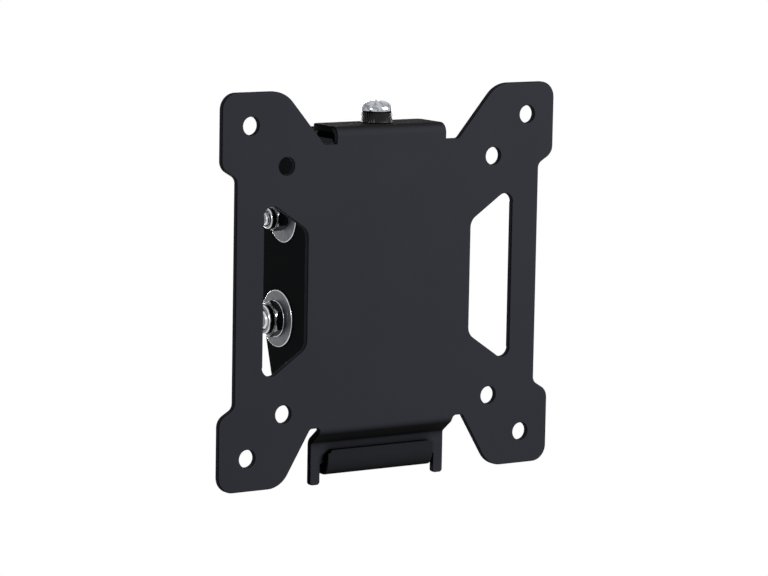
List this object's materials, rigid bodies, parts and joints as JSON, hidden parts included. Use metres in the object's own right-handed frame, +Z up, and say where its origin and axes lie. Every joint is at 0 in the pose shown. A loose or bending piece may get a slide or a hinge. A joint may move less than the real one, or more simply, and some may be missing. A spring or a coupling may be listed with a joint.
{
  "type": "tilting tv wall bracket",
  "caption": "Small tilting screen wall bracket: pressed plate with square hole patterns on a folded carriage that tilts on a wall channel, locked by a hand screw.",
  "frame": {"origin": "on the wall face, midway between the ears and level with the middle of the screen hole squares", "axes": "+X to the right for someone facing the wall, +Y into the wall, +Z up"},
  "size_m": [0.12, 0.042, 0.1215],
  "materials": {
    "black_steel": "satin black powder coat on pressed steel",
    "zinc_steel": "bright zinc plated steel",
    "bright_chrome": "polished nickel-chrome plate",
    "black_collar": "gloss black, knurled",
    "black_nylon": "black nylon"
  },
  "bodies": {
    "wall": {"wall_plate": "black_steel", "pivot_bolt_left": "zinc_steel", "pivot_bolt_right": "zinc_steel", "pivot_friction_washer_left": "black_nylon", "pivot_friction_washer_right": "black_nylon", "pivot_washer_left": "zinc_steel", "pivot_washer_right": "zinc_steel", "pivot_spring_washer_left": "zinc_steel", "pivot_spring_washer_right": "zinc_steel", "pivot_nut_left": "zinc_steel", "pivot_nut_right": "zinc_steel"},
    "tilt_head": {"tilt_carriage": "black_steel", "screen_plate": "black_steel", "lock_nut": "zinc_steel", "tilt_bolt_left": "zinc_steel", "tilt_bolt_right": "zinc_steel", "tilt_friction_washer_left": "black_nylon", "tilt_friction_washer_right": "black_nylon", "tilt_washer_left": "zinc_steel", "tilt_washer_right": "zinc_steel", "tilt_nut_left": "zinc_steel", "tilt_nut_right": "zinc_steel"},
    "lock_sleeve": {"lock_collar": "black_collar"},
    "lock": {"lock_screw": "bright_chrome"}
  },
  "joints": [
    {"name": "tilt", "type": "hinge", "parent": "wall", "child": "tilt_head", "pos_m": [0, -0.01, -0.0137], "axis": [1, 0, 0], "range_deg": [0, 15]},
    {"name": "lock_screw_lift", "type": "slide", "parent": "tilt_head", "child": "lock_sleeve", "axis": [0, 0, 1], "range_m": [0, 0.0056]},
    {"name": "lock_screw_turn", "type": "hinge", "parent": "lock_sleeve", "child": "lock", "pos_m": [0, -0.0329, 0.0485], "axis": [0, 0, 1], "range_deg": [0, 2530]}
  ],
  "couplings": [
    {"joint": "lock_screw_turn", "follows": "lock_screw_lift", "rad_per_m": 7854}
  ]
}
